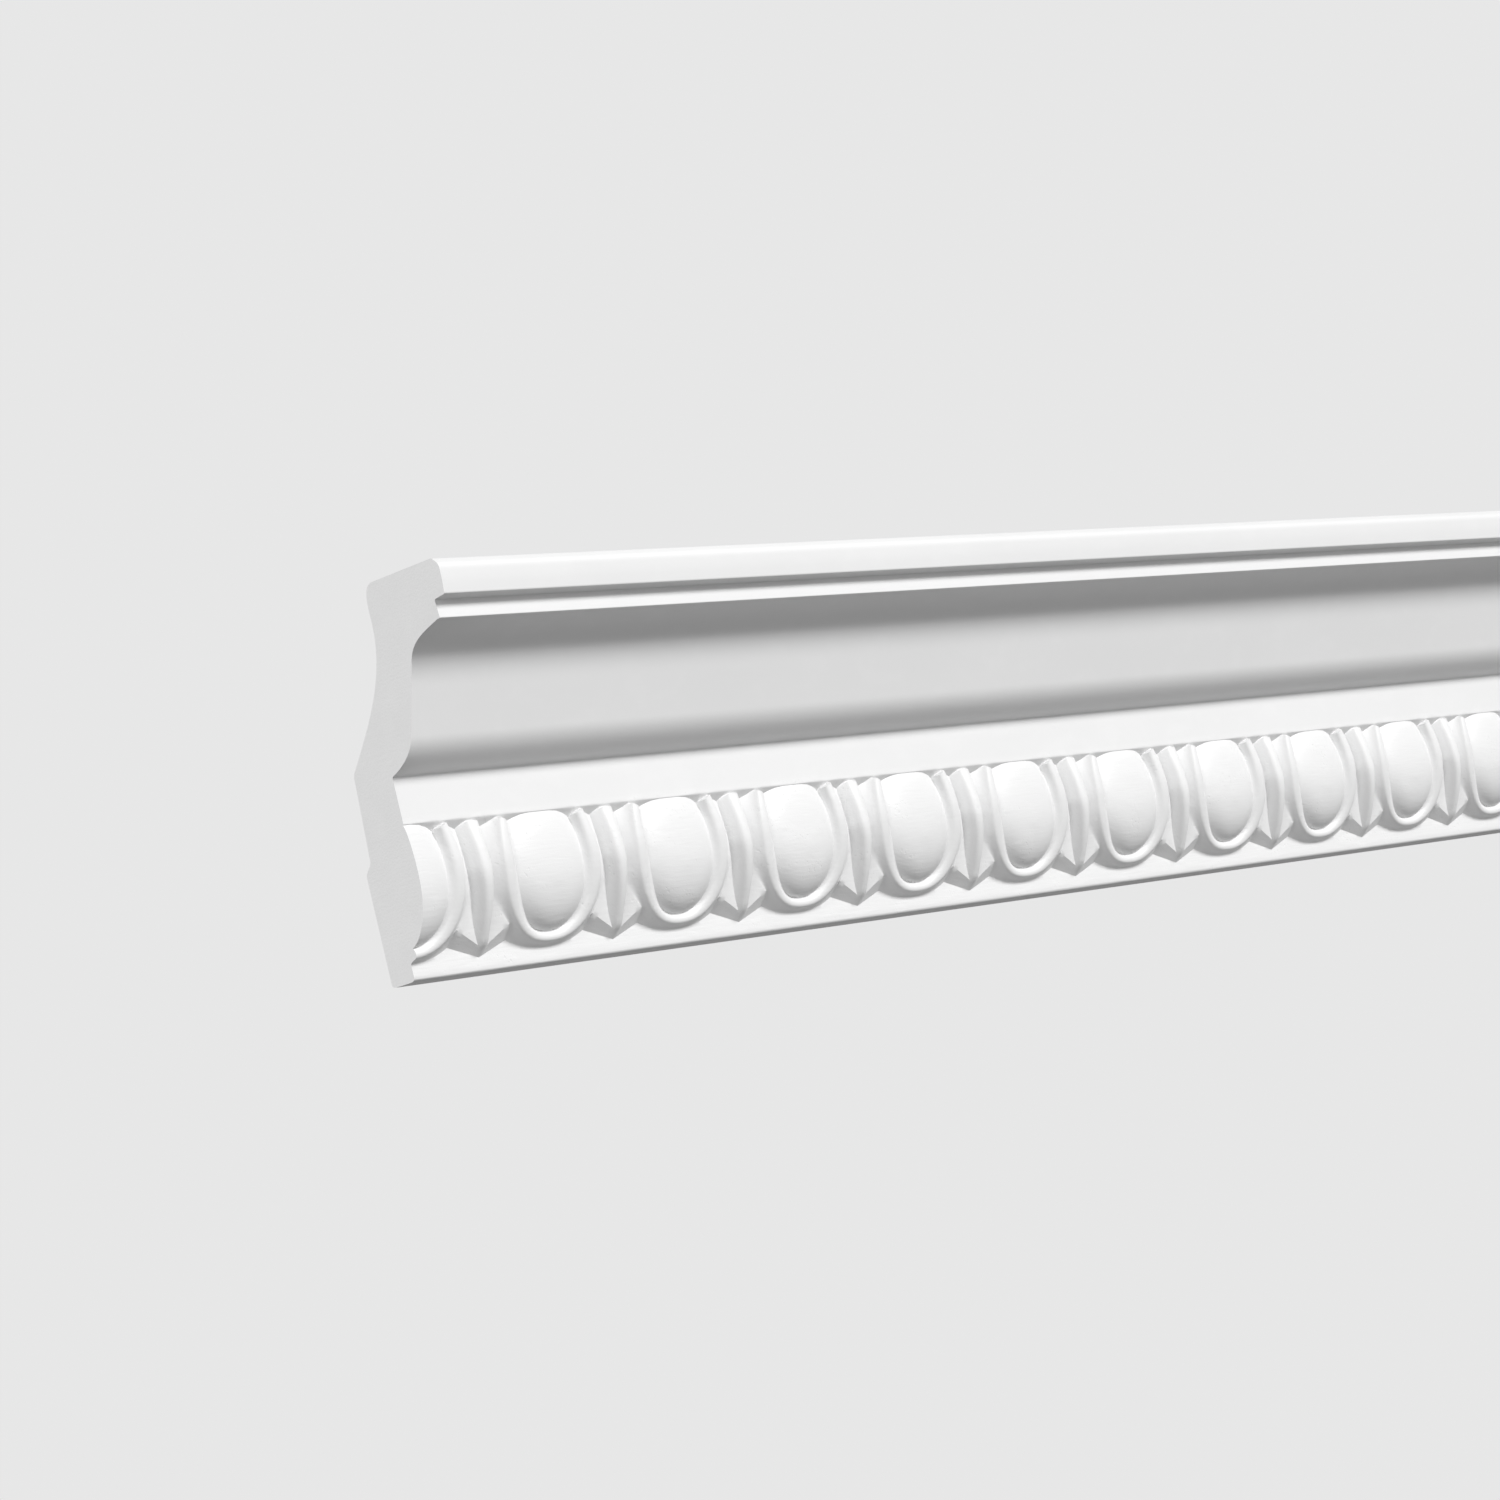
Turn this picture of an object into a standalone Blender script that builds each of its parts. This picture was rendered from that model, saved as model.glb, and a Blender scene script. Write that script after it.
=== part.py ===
"""Cornice moulding section: one moulded length with a cyma top and an egg-and-dart band below it.

Metres, +Z up, in the mounted position. X runs along the length, the room is towards -Y and the wall
towards +Y. The origin is the centre of the strip that bears on the wall. Profile points are written
as (out, up): the distance out from the wall, and the height above the underside.
"""
import bpy
import bmesh
from math import cos, pi, radians, sin
from mathutils import Vector
from mathutils.geometry import delaunay_2d_cdt

# Run and repeat
PITCH = 0.0522
DART_COUNT = 11
SAW_WASTE = 0.0010
HALF_PITCH = PITCH / 2
RUN_LENGTH = DART_COUNT * PITCH - 2 * SAW_WASTE

# Overall section
HEIGHT = 0.1000
PROJECTION = 0.0486

# Top fascia, groove and fillet, from the top down and from the front back
TOP_CHAMFER = 0.0021
TOP_FASCIA_HEIGHT = 0.0068
TOP_FASCIA_LEAN = 0.0008
GROOVE_RISE = 0.0009
GROOVE_DEPTH = 0.0034
FILLET_HEIGHT = 0.0043
FILLET_LEAN = 0.0002
FILLET_LIP = 0.0009

# Lower fascia and bottom fascia
BAND_TOP = 0.0388
LOWER_FASCIA_HEIGHT = 0.0123
LOWER_FASCIA_OUT = 0.0166
LOW_FASCIA_OUT = 0.00815
LOW_FASCIA_START = 0.0010
UNDERSIDE_ROUND = 0.0013

# Cyma: where its straight stretch begins and ends, as shares of its reach out and up
CYMA_LOW_SHARES = (0.356, 0.237)
CYMA_HIGH_SHARES = (0.552, 0.694)
CYMA_START_ANGLE = radians(20)
COVE_END_ANGLE = radians(19)

# Back: strip against the wall, step, knee, hollow and strip against the ceiling
WALL_STRIP_START = 0.0010
WALL_STRIP_END = 0.0296
BACK_STEP_HEIGHT = 0.0025
BACK_STEP_DEPTH = 0.0024
BACK_KNEE_OUT = 0.0036
BACK_KNEE_RISE = 0.0038
BACK_KNEE_ANGLE = radians(50)
CEILING_STRIP_DEPTH = 0.0236
BACK_SHOULDER_DEPTH = 0.0268
BACK_SHOULDER_DROP = 0.0100

# Sloping face between the carved band and the lower fascia's edge
GAP_HEIGHT = 0.0021
GAP_DEPTH = 0.0023
RIDGE_TOP_RISE = 0.45
RIDGE_END_STEP = 0.0003

# Egg: heights are shares of the band's, widths are shares of half the pitch. The reaches are the
# heights over which the middle of the egg falls away by its depth, below and above its nose.
EGG_HALF_WIDTH = 0.467 * HALF_PITCH
EGG_WIDEST_UP = 0.644 * BAND_TOP
EGG_BOTTOM_UP = 0.211 * BAND_TOP
EGG_NOSE_UP = 0.698 * BAND_TOP
EGG_LOW_REACH = 0.523 * BAND_TOP
EGG_HIGH_REACH = 0.724 * BAND_TOP
EGG_DEPTH = 0.0128
EGG_NOSE_PROUD = 0.0012
EGG_EDGE_SUNK = 0.0014
EGG_EDGE_FOOT_PROUD = 0.0024
EGG_OUTLINE_POWER = 2.4
EGG_CROWN_POWER = 2.4
EGG_CROWN_ROUNDNESS = 0.6
EGG_EDGE_POWER = 1.6
EGG_RINGS = (0.3, 0.58, 0.82, 1.0)

# Cup around the egg, in the same shares
CUP_HALF_WIDTH = 0.690 * HALF_PITCH
CUP_TOP_HALF_WIDTH = 0.598 * HALF_PITCH
CUP_WIDEST_UP = 0.644 * BAND_TOP
CUP_BOTTOM_UP = 0.157 * BAND_TOP
CUP_FOOT_UP = 0.111 * BAND_TOP
CUP_FOOT_PROUD = 0.0025
CUP_WIDEST_PROUD = 0.0010
CUP_TOP_PROUD = 0.0003
CUP_OUTLINE_POWER = 2.15
CUP_FOOT_POWER = 2.2

# Dart between two cups, in the same shares
DART_NOSE_UP = 0.644 * BAND_TOP
DART_TIP_UP = 0.173 * BAND_TOP
DART_FOOT_UP = 0.1005 * BAND_TOP
DART_TOP_PROUD = 0.0005
DART_NOSE_PROUD = 0.0021
DART_TIP_PROUD = 0.0035
DART_FALL_POWER = 1.6
DART_CREST_HALF_WIDTH = 0.046 * HALF_PITCH
DART_TIP_CREST_HALF_WIDTH = 0.015 * HALF_PITCH
SPINE_HALF_WIDTH = 0.138 * HALF_PITCH
SPINE_TIP_HALF_WIDTH = 0.069 * HALF_PITCH
SPINE_EASE = 0.25
BLADE_CORNER_UP = 0.2835 * BAND_TOP
BLADE_CORNER_PROUD = 0.0039
BLADE_TIP_PROUD = 0.0023
FORK_UP = 0.515 * BAND_TOP
FORK_SUNK = 0.0028
FOOT_PEAK_OFFSET = 0.421 * HALF_PITCH
FOOT_PEAK_UP = 0.191 * BAND_TOP

# Groove between cup and dart, in shares of the room from the dart's middle to the cup's crest
GROOVE_TOP_SHARE = 0.50
GROOVE_NOSE_SHARE = 0.56
GROOVE_FORK_SHARE = 0.46
BLADE_CORNER_SHARE = 0.84
GROOVE_NOSE_SUNK = 0.0018
GROOVE_TURN_POWER = 1.5
GROOVE_DROP_POWER = 0.85

# Fullness of the curves: how far a curve keeps its end direction, as a share of its length
CYMA_PULL = 0.36
ROUND_PULL = 0.4
CHAMFER_PULL = 0.5

# How finely the curves are divided, and the distance below which two corners are one
ARC_STEPS = 9
SIDE_STEPS = 4
FOOT_STEPS = 3
CURVE_STEPS = 8
ROUND_STEPS = 3
SAME_PLACE = 0.000001

# Places that follow from the sizes above
WALL_STRIP_MIDDLE = (WALL_STRIP_START + WALL_STRIP_END) / 2
LOWER_FASCIA_TOP = BAND_TOP + LOWER_FASCIA_HEIGHT
TOP_FASCIA_END = HEIGHT - TOP_CHAMFER
TOP_FASCIA_START = TOP_FASCIA_END - TOP_FASCIA_HEIGHT
TOP_FASCIA_LOW_OUT = PROJECTION - TOP_FASCIA_LEAN
GROOVE_UP = TOP_FASCIA_START - GROOVE_RISE
FILLET_OUT = TOP_FASCIA_LOW_OUT - GROOVE_DEPTH
COVE_END = (FILLET_OUT - FILLET_LIP, GROOVE_UP - FILLET_HEIGHT)
GROOVE_TOP_UP = BAND_TOP - GAP_HEIGHT
GROOVE_TOP_OUT = LOWER_FASCIA_OUT - GAP_DEPTH
GAP_SLOPE = GAP_DEPTH / GAP_HEIGHT
EGG_NOSE_OUT = LOWER_FASCIA_OUT + EGG_NOSE_PROUD
EGG_EDGE_HIGH_OUT = LOWER_FASCIA_OUT - EGG_EDGE_SUNK
EGG_EDGE_LOW_OUT = LOW_FASCIA_OUT + EGG_EDGE_FOOT_PROUD
CUP_LOW_OUT = LOW_FASCIA_OUT + CUP_FOOT_PROUD
CUP_WIDEST_OUT = LOWER_FASCIA_OUT + CUP_WIDEST_PROUD
CUP_HIGH_OUT = LOWER_FASCIA_OUT + CUP_TOP_PROUD
DART_TOP_OUT = LOWER_FASCIA_OUT + DART_TOP_PROUD
DART_NOSE_OUT = LOWER_FASCIA_OUT + DART_NOSE_PROUD
DART_TIP_OUT = LOW_FASCIA_OUT + DART_TIP_PROUD
BLADE_CORNER_OUT = LOW_FASCIA_OUT + BLADE_CORNER_PROUD
BLADE_TIP_OUT = LOW_FASCIA_OUT + BLADE_TIP_PROUD
FORK_OUT = LOWER_FASCIA_OUT - FORK_SUNK
GROOVE_NOSE_OUT = LOWER_FASCIA_OUT - GROOVE_NOSE_SUNK


def mix(start, end, share):
    return start + (end - start) * share


def direction(angle):
    return Vector((cos(angle), sin(angle)))


OUTWARD = direction(0)
UPWARD = direction(pi / 2)


def curve(start, start_direction, end, end_direction, pull=CYMA_PULL, steps=CURVE_STEPS):
    """Points of a cubic curve between two profile points with given end directions."""
    start = Vector(start)
    end = Vector(end)
    reach = (end - start).length * pull
    near = start + start_direction * reach
    far = end - end_direction * reach
    points = []
    for step in range(steps + 1):
        t = step / steps
        blend = start * (1 - t) ** 3 + near * 3 * t * (1 - t) ** 2 + far * 3 * t**2 * (1 - t) + end * t**3
        points.append((blend.x, blend.y))
    return points


def u_half_width(up, half_width, top_half_width, widest, bottom, power):
    """Half the width of a U-shaped outline at one height."""
    if up >= widest:
        share = (up - widest) / (BAND_TOP - widest)
        return mix(half_width, top_half_width, share**2)
    share = min((widest - up) / (widest - bottom), 1)
    return half_width * (1 - share**power) ** (1 / power)


def cup_half(up):
    return u_half_width(
        up, CUP_HALF_WIDTH, CUP_TOP_HALF_WIDTH, CUP_WIDEST_UP, CUP_BOTTOM_UP, CUP_OUTLINE_POWER
    )


def egg_half(up):
    return u_half_width(
        up, EGG_HALF_WIDTH, EGG_HALF_WIDTH, EGG_WIDEST_UP, EGG_BOTTOM_UP, EGG_OUTLINE_POWER
    )


def u_outline(half_width_at, widest, bottom, top, power, arc_steps, side_steps):
    """Heights and half widths along a U, from its lowest point up one arm."""
    outline = []
    for step in range(arc_steps + 1):
        up = widest - (widest - bottom) * cos(pi / 2 * step / arc_steps) ** (2 / power)
        outline.append((half_width_at(up), up))
    for step in range(1, side_steps + 1):
        up = mix(widest, top, step / side_steps)
        outline.append((half_width_at(up), up))
    return outline


def gap_out(up):
    """The sloping face under the lower fascia's edge."""
    return LOWER_FASCIA_OUT - (BAND_TOP - up) * GAP_SLOPE


def ridge_top_up(out):
    """Height at which a ridge of the band ends."""
    return GROOVE_TOP_UP + (out - GROOVE_TOP_OUT) * RIDGE_TOP_RISE


def egg_nose_line(up):
    """How far out the middle of the egg stands."""
    reach = EGG_HIGH_REACH if up > EGG_NOSE_UP else EGG_LOW_REACH
    share = min(abs(up - EGG_NOSE_UP) / reach, 1)
    return EGG_NOSE_OUT - EGG_DEPTH * (1 - (1 - share**2) ** 0.5)


def egg_edge_out(up):
    """How far out the egg's edge stands, where it meets the cup."""
    share = max(0, (EGG_NOSE_UP - up) / (EGG_NOSE_UP - EGG_BOTTOM_UP))
    return mix(EGG_EDGE_HIGH_OUT, EGG_EDGE_LOW_OUT, share**EGG_EDGE_POWER)


def egg_out(across_share, up):
    """How far out the egg stands, part way from its middle (0) to its edge (1)."""
    edge = egg_edge_out(up)
    crown = (1 - min(across_share, 1) ** EGG_CROWN_POWER) ** EGG_CROWN_ROUNDNESS
    return mix(edge, max(egg_nose_line(up), edge), crown)


def egg_top(across_share):
    """Height at which the egg runs into the sloping face under the lower fascia."""
    up = BAND_TOP
    for _ in range(6):
        up = BAND_TOP - max(LOWER_FASCIA_OUT - egg_out(across_share, up), 0) / GAP_SLOPE
    return up


def cup_out(up):
    """How far out the crest of the cup stands."""
    if up >= CUP_WIDEST_UP:
        share = (up - CUP_WIDEST_UP) / (ridge_top_up(CUP_HIGH_OUT) - CUP_WIDEST_UP)
        return mix(CUP_WIDEST_OUT, CUP_HIGH_OUT, share**2)
    share = (CUP_WIDEST_UP - up) / (CUP_WIDEST_UP - CUP_BOTTOM_UP)
    return mix(CUP_WIDEST_OUT, CUP_LOW_OUT, share**2)


def dart_out(up):
    """How far out the dart's spine stands."""
    if up >= DART_NOSE_UP:
        share = (up - DART_NOSE_UP) / (ridge_top_up(DART_TOP_OUT) - DART_NOSE_UP)
        return mix(DART_NOSE_OUT, DART_TOP_OUT, share**2)
    share = (DART_NOSE_UP - up) / (DART_NOSE_UP - DART_TIP_UP)
    return mix(DART_NOSE_OUT, DART_TIP_OUT, share**DART_FALL_POWER)


def room(up):
    """From the dart's middle to the cup's crest."""
    return HALF_PITCH - cup_half(up)


class Net:
    """Points and crease lines of half a repeat, from the egg's middle to the dart's middle."""

    def __init__(self):
        self.points = []
        self.outs = []
        self.creases = []
        self.seen = {}

    def point(self, across, up, out):
        across = min(max(across, 0), HALF_PITCH)
        key = (round(across, 6), round(up, 6))
        if key not in self.seen:
            self.seen[key] = len(self.points)
            self.points.append(Vector((across, up)))
            self.outs.append(out)
        return self.seen[key]

    def line(self, places):
        indexes = [self.point(*place) for place in places]
        for first, second in zip(indexes, indexes[1:]):
            if first != second:
                self.creases.append((first, second))

    def solve(self):
        """Triangles between the crease lines, as corners (across, up, out)."""
        solved = delaunay_2d_cdt(self.points, self.creases, [], 0, SAME_PLACE / 10)
        flat, _, triangles, sources, _, _ = solved
        corners = []
        for place, source in zip(flat, sources):
            if source:
                out = self.outs[source[0]]
            else:
                out = self.outs[min(range(len(self.points)), key=lambda i: (self.points[i] - place).length)]
            corners.append((place.x, place.y, out))
        return corners, triangles


def egg_lines(net):
    """The egg's edge and the rings of its crown, and its middle line."""
    middle = {}
    for ring_share in EGG_RINGS:
        steps = max(3, round(ARC_STEPS * ring_share**0.5))
        outline = u_outline(egg_half, EGG_WIDEST_UP, EGG_BOTTOM_UP, BAND_TOP, EGG_OUTLINE_POWER,
                            steps, SIDE_STEPS)
        ring = []
        for half, up in outline[:-1]:
            if up <= EGG_WIDEST_UP:
                up = mix(EGG_WIDEST_UP, up, ring_share)
            across = half * ring_share
            ring.append((across, up, egg_out(across / max(egg_half(up), SAME_PLACE), up)))
        top = egg_top(ring_share)
        ring.append((EGG_HALF_WIDTH * ring_share, top, gap_out(top)))
        net.line(ring)
        middle[ring[0][1]] = ring[0][2]
    for step in range(SIDE_STEPS):
        up = mix(EGG_WIDEST_UP, BAND_TOP, step / SIDE_STEPS)
        middle[up] = egg_out(0, up)
    middle[BAND_TOP] = LOWER_FASCIA_OUT
    net.line([(0, up, middle[up]) for up in sorted(middle)])


def cup_lines(net):
    """The cup's crest and its foot on the bottom fascia."""
    top = ridge_top_up(CUP_HIGH_OUT)
    outline = u_outline(cup_half, CUP_WIDEST_UP, CUP_BOTTOM_UP, top, CUP_OUTLINE_POWER,
                        ARC_STEPS + 1, SIDE_STEPS)
    net.line([(half, up, cup_out(up)) for half, up in outline])
    peak = HALF_PITCH - FOOT_PEAK_OFFSET
    foot = []
    for step in range(ARC_STEPS - 1):
        share = step / (ARC_STEPS - 2)
        up = mix(CUP_FOOT_UP, FOOT_PEAK_UP, share**CUP_FOOT_POWER)
        foot.append((peak * share, up, LOW_FASCIA_OUT))
    net.line(foot)
    net.line([
        (0, CUP_FOOT_UP, LOW_FASCIA_OUT),
        (0, CUP_BOTTOM_UP, CUP_LOW_OUT),
        (0, EGG_BOTTOM_UP, EGG_EDGE_LOW_OUT),
    ])


def groove_place(up):
    """Place of the groove between cup and dart at one height."""
    if up >= DART_NOSE_UP:
        climb = (up - DART_NOSE_UP) / (GROOVE_TOP_UP - DART_NOSE_UP)
        share = mix(GROOVE_NOSE_SHARE, GROOVE_TOP_SHARE, climb**GROOVE_TURN_POWER)
        out = mix(GROOVE_NOSE_OUT, GROOVE_TOP_OUT, climb**2)
    elif up >= FORK_UP:
        climb = (up - FORK_UP) / (DART_NOSE_UP - FORK_UP)
        share = mix(GROOVE_FORK_SHARE, GROOVE_NOSE_SHARE, climb)
        out = mix(FORK_OUT, GROOVE_NOSE_OUT, climb)
    else:
        drop = (FORK_UP - up) / (FORK_UP - BLADE_CORNER_UP)
        share = mix(GROOVE_FORK_SHARE, BLADE_CORNER_SHARE, drop**GROOVE_DROP_POWER)
        out = mix(FORK_OUT, BLADE_CORNER_OUT, drop)
    return (HALF_PITCH - room(up) * share, up, out)


def groove_line(net):
    """The groove from the bottom fascia's peak past the blade's corner to the top."""
    heights = [mix(BLADE_CORNER_UP, FORK_UP, step / SIDE_STEPS) for step in range(SIDE_STEPS)]
    heights += [mix(FORK_UP, GROOVE_TOP_UP, step / SIDE_STEPS) for step in range(SIDE_STEPS + 1)]
    peak = (HALF_PITCH - FOOT_PEAK_OFFSET, FOOT_PEAK_UP, LOW_FASCIA_OUT)
    net.line([peak] + [groove_place(up) for up in heights])


def dart_lines(net):
    """The dart's spine, its blade and the sloping foot below it."""
    fork = groove_place(FORK_UP)
    corner = groove_place(BLADE_CORNER_UP)
    tip = (HALF_PITCH - SPINE_TIP_HALF_WIDTH, DART_TIP_UP, BLADE_TIP_OUT)
    edge = []
    for step in range(SIDE_STEPS + 1):
        share = step / SIDE_STEPS
        edge.append(tuple(mix(first, last, share) for first, last in zip(corner, tip)))
    net.line(edge)

    base = []
    for step in range(2 * SIDE_STEPS + 1):
        share = step / (2 * SIDE_STEPS)
        up = mix(FORK_UP, DART_TIP_UP, share)
        half = mix(SPINE_HALF_WIDTH, SPINE_TIP_HALF_WIDTH, share**3)
        half += (HALF_PITCH - fork[0] - SPINE_HALF_WIDTH) * max(0, 1 - share / SPINE_EASE)
        base.append((HALF_PITCH - half, up, mix(FORK_OUT, BLADE_TIP_OUT, share)))
    net.line(base)

    crest = []
    middle = [(HALF_PITCH, DART_FOOT_UP, LOW_FASCIA_OUT)]
    top = ridge_top_up(DART_TOP_OUT)
    for step in range(4 * SIDE_STEPS + 1):
        up = mix(DART_TIP_UP, top, step / (4 * SIDE_STEPS))
        share = min((up - DART_TIP_UP) / (DART_NOSE_UP - DART_TIP_UP), 1)
        half = mix(DART_TIP_CREST_HALF_WIDTH, DART_CREST_HALF_WIDTH, share)
        crest.append((HALF_PITCH - half, up, dart_out(up)))
        middle.append((HALF_PITCH, up, dart_out(up)))
    net.line(crest)
    net.line(middle)

    foot = []
    for step in range(FOOT_STEPS + 1):
        share = step / FOOT_STEPS
        across = HALF_PITCH - FOOT_PEAK_OFFSET * share
        foot.append((across, mix(DART_FOOT_UP, FOOT_PEAK_UP, share), LOW_FASCIA_OUT))
    net.line(foot)


def top_lines(net):
    """The ends of the ridges and the sloping face under the lower fascia."""
    cup_top = ridge_top_up(CUP_HIGH_OUT)
    dart_top = ridge_top_up(DART_TOP_OUT)
    cup_foot = cup_top + RIDGE_END_STEP
    dart_foot = dart_top + RIDGE_END_STEP
    groove = groove_place(GROOVE_TOP_UP)
    egg_edge = (EGG_HALF_WIDTH, egg_top(1), gap_out(egg_top(1)))
    crest = HALF_PITCH - DART_CREST_HALF_WIDTH
    net.line([
        egg_edge,
        (cup_half(cup_top), cup_top, CUP_HIGH_OUT),
        groove,
        (crest, dart_top, DART_TOP_OUT),
        (HALF_PITCH, dart_top, DART_TOP_OUT),
        (HALF_PITCH, dart_foot, gap_out(dart_foot)),
        (HALF_PITCH, BAND_TOP, LOWER_FASCIA_OUT),
    ])
    net.line([
        egg_edge,
        (cup_half(cup_top), cup_foot, gap_out(cup_foot)),
        groove,
        (crest, dart_foot, gap_out(dart_foot)),
        (HALF_PITCH, dart_foot, gap_out(dart_foot)),
    ])
    net.line([
        (0, BAND_TOP, LOWER_FASCIA_OUT),
        (EGG_HALF_WIDTH, BAND_TOP, LOWER_FASCIA_OUT),
        (groove[0], BAND_TOP, LOWER_FASCIA_OUT),
        (HALF_PITCH, BAND_TOP, LOWER_FASCIA_OUT),
    ])


def bottom_lines(net):
    """The bottom fascia's plain lower part."""
    net.line([
        (0, CUP_FOOT_UP, LOW_FASCIA_OUT),
        (0, LOW_FASCIA_START, LOW_FASCIA_OUT),
        (HALF_PITCH, LOW_FASCIA_START, LOW_FASCIA_OUT),
        (HALF_PITCH, DART_FOOT_UP, LOW_FASCIA_OUT),
    ])


def half_repeat():
    net = Net()
    egg_lines(net)
    cup_lines(net)
    groove_line(net)
    dart_lines(net)
    top_lines(net)
    bottom_lines(net)
    return net.solve()


def front_profile():
    """The section from the lower fascia's lower edge up to the top."""
    start = Vector((LOWER_FASCIA_OUT, LOWER_FASCIA_TOP))
    reach = Vector(COVE_END) - start
    low = start + Vector(CYMA_LOW_SHARES) * reach
    high = start + Vector(CYMA_HIGH_SHARES) * reach
    slope = (high - low).normalized()
    points = [(LOWER_FASCIA_OUT, BAND_TOP), tuple(start)]
    points += curve(start, direction(CYMA_START_ANGLE), low, slope)[1:]
    points += curve(high, slope, COVE_END, direction(COVE_END_ANGLE))
    points += [
        (FILLET_OUT, COVE_END[1]),
        (FILLET_OUT, mix(COVE_END[1], GROOVE_UP, 0.5)),
        (FILLET_OUT - FILLET_LEAN, GROOVE_UP),
        (TOP_FASCIA_LOW_OUT, TOP_FASCIA_START),
    ]
    chamfer_end = (PROJECTION - TOP_CHAMFER, HEIGHT)
    top = (PROJECTION, TOP_FASCIA_END)
    points += curve(top, UPWARD, chamfer_end, -OUTWARD, CHAMFER_PULL, ROUND_STEPS)
    return points


def back_profile():
    """The section from the strip under the ceiling down to the wall strip's upper edge."""
    shoulder = (PROJECTION - BACK_SHOULDER_DEPTH, HEIGHT - BACK_SHOULDER_DROP)
    strip_edge = (PROJECTION - CEILING_STRIP_DEPTH, HEIGHT)
    knee = (BACK_KNEE_OUT, LOWER_FASCIA_TOP + BACK_KNEE_RISE)
    points = curve(strip_edge, -OUTWARD, shoulder, -UPWARD, steps=ROUND_STEPS)
    points += curve(shoulder, -UPWARD, knee, -direction(BACK_KNEE_ANGLE))[1:]
    points += [(BACK_STEP_DEPTH, WALL_STRIP_END + BACK_STEP_HEIGHT), (0, WALL_STRIP_END)]
    return points


def underside_profile():
    """The section from the wall strip's lower edge to the bottom fascia."""
    back = (UNDERSIDE_ROUND, 0)
    front = (LOW_FASCIA_OUT - UNDERSIDE_ROUND, 0)
    fascia = (LOW_FASCIA_OUT, LOW_FASCIA_START)
    points = curve((0, WALL_STRIP_START), -UPWARD, back, OUTWARD, ROUND_PULL, ROUND_STEPS)
    points += curve(front, OUTWARD, fascia, UPWARD, ROUND_PULL, ROUND_STEPS)
    return points


def add_corner(mesh, corners, along, out, up):
    key = (round(along, 6), round(out, 6), round(up, 6))
    if key not in corners:
        corners[key] = mesh.verts.new((along, -out, up - WALL_STRIP_MIDDLE))
    return corners[key]


def add_face(mesh, corners):
    if len(set(corners)) == len(corners) and mesh.faces.get(corners) is None:
        mesh.faces.new(corners)


def carve_band(mesh, corners):
    """Both mirrored halves of every repeat; returns the corners along its lower and upper edges."""
    places, triangles = half_repeat()
    low = set()
    high = set()
    for repeat in range(DART_COUNT):
        middle = (repeat + 0.5 - DART_COUNT / 2) * PITCH
        for side in (-1, 1):
            made = []
            for across, up, out in places:
                along = middle + side * (HALF_PITCH - across)
                corner = add_corner(mesh, corners, along, out, up)
                made.append(corner)
                if abs(up - LOW_FASCIA_START) < SAME_PLACE:
                    low.add(corner)
                if abs(up - BAND_TOP) < SAME_PLACE:
                    high.add(corner)
            for triangle in triangles:
                add_face(mesh, [made[index] for index in triangle])
    return sorted(low, key=lambda c: c.co.x), sorted(high, key=lambda c: c.co.x)


def fan(mesh, chain, left, right):
    """Joins a row of corners to the two ends of the next profile line."""
    half = len(chain) // 2
    for index in range(len(chain) - 1):
        add_face(mesh, [chain[index], chain[index + 1], left if index < half else right])
    add_face(mesh, [chain[half], right, left])


def sweep_profile(mesh, corners, low, high):
    """Long faces of the plain mouldings, from end to end."""
    ends = (-DART_COUNT * PITCH / 2, DART_COUNT * PITCH / 2)
    rows = []
    for out, up in front_profile() + back_profile() + underside_profile():
        rows.append([add_corner(mesh, corners, end, out, up) for end in ends])
    fan(mesh, high, rows[1][0], rows[1][1])
    for first, second in zip(rows[1:-2], rows[2:-1]):
        add_face(mesh, [first[0], first[1], second[1], second[0]])
    fan(mesh, low, rows[-2][0], rows[-2][1])


def cut_end(mesh, along, outward):
    """Cuts one end square and closes it with the flat face of the section."""
    geometry = mesh.verts[:] + mesh.edges[:] + mesh.faces[:]
    bmesh.ops.bisect_plane(
        mesh,
        geom=geometry,
        dist=SAME_PLACE,
        plane_co=(along, 0, 0),
        plane_no=(outward, 0, 0),
        clear_outer=True,
    )
    rim = [edge for edge in mesh.edges
           if edge.is_boundary and all(abs(corner.co.x - along) < 10 * SAME_PLACE for corner in edge.verts)]
    bmesh.ops.edgeloop_fill(mesh, edges=rim)


def primed_polyurethane():
    material = bpy.data.materials.new("primed_polyurethane")
    material.use_nodes = True
    shader = material.node_tree.nodes["Principled BSDF"]
    shader.inputs["Base Color"].default_value = (0.86, 0.86, 0.86, 1)
    shader.inputs["Roughness"].default_value = 0.5
    shader.inputs["Metallic"].default_value = 0
    return material


def cornice_moulding():
    mesh = bmesh.new()
    corners = {}
    low, high = carve_band(mesh, corners)
    sweep_profile(mesh, corners, low, high)
    cut_end(mesh, -RUN_LENGTH / 2, -1)
    cut_end(mesh, RUN_LENGTH / 2, 1)
    bmesh.ops.remove_doubles(mesh, verts=mesh.verts, dist=SAME_PLACE)
    bmesh.ops.triangulate(mesh, faces=mesh.faces[:])
    bmesh.ops.recalc_face_normals(mesh, faces=mesh.faces[:])
    data = bpy.data.meshes.new("cornice_moulding")
    mesh.to_mesh(data)
    mesh.free()
    data.shade_smooth()
    data.set_sharp_from_angle(angle=radians(28))
    data.materials.append(primed_polyurethane())
    moulding = bpy.data.objects.new("cornice_moulding", data)
    bpy.context.scene.collection.objects.link(moulding)
    return moulding


def main():
    for item in list(bpy.data.objects):
        bpy.data.objects.remove(item)
    cornice_moulding()


main()
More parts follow.
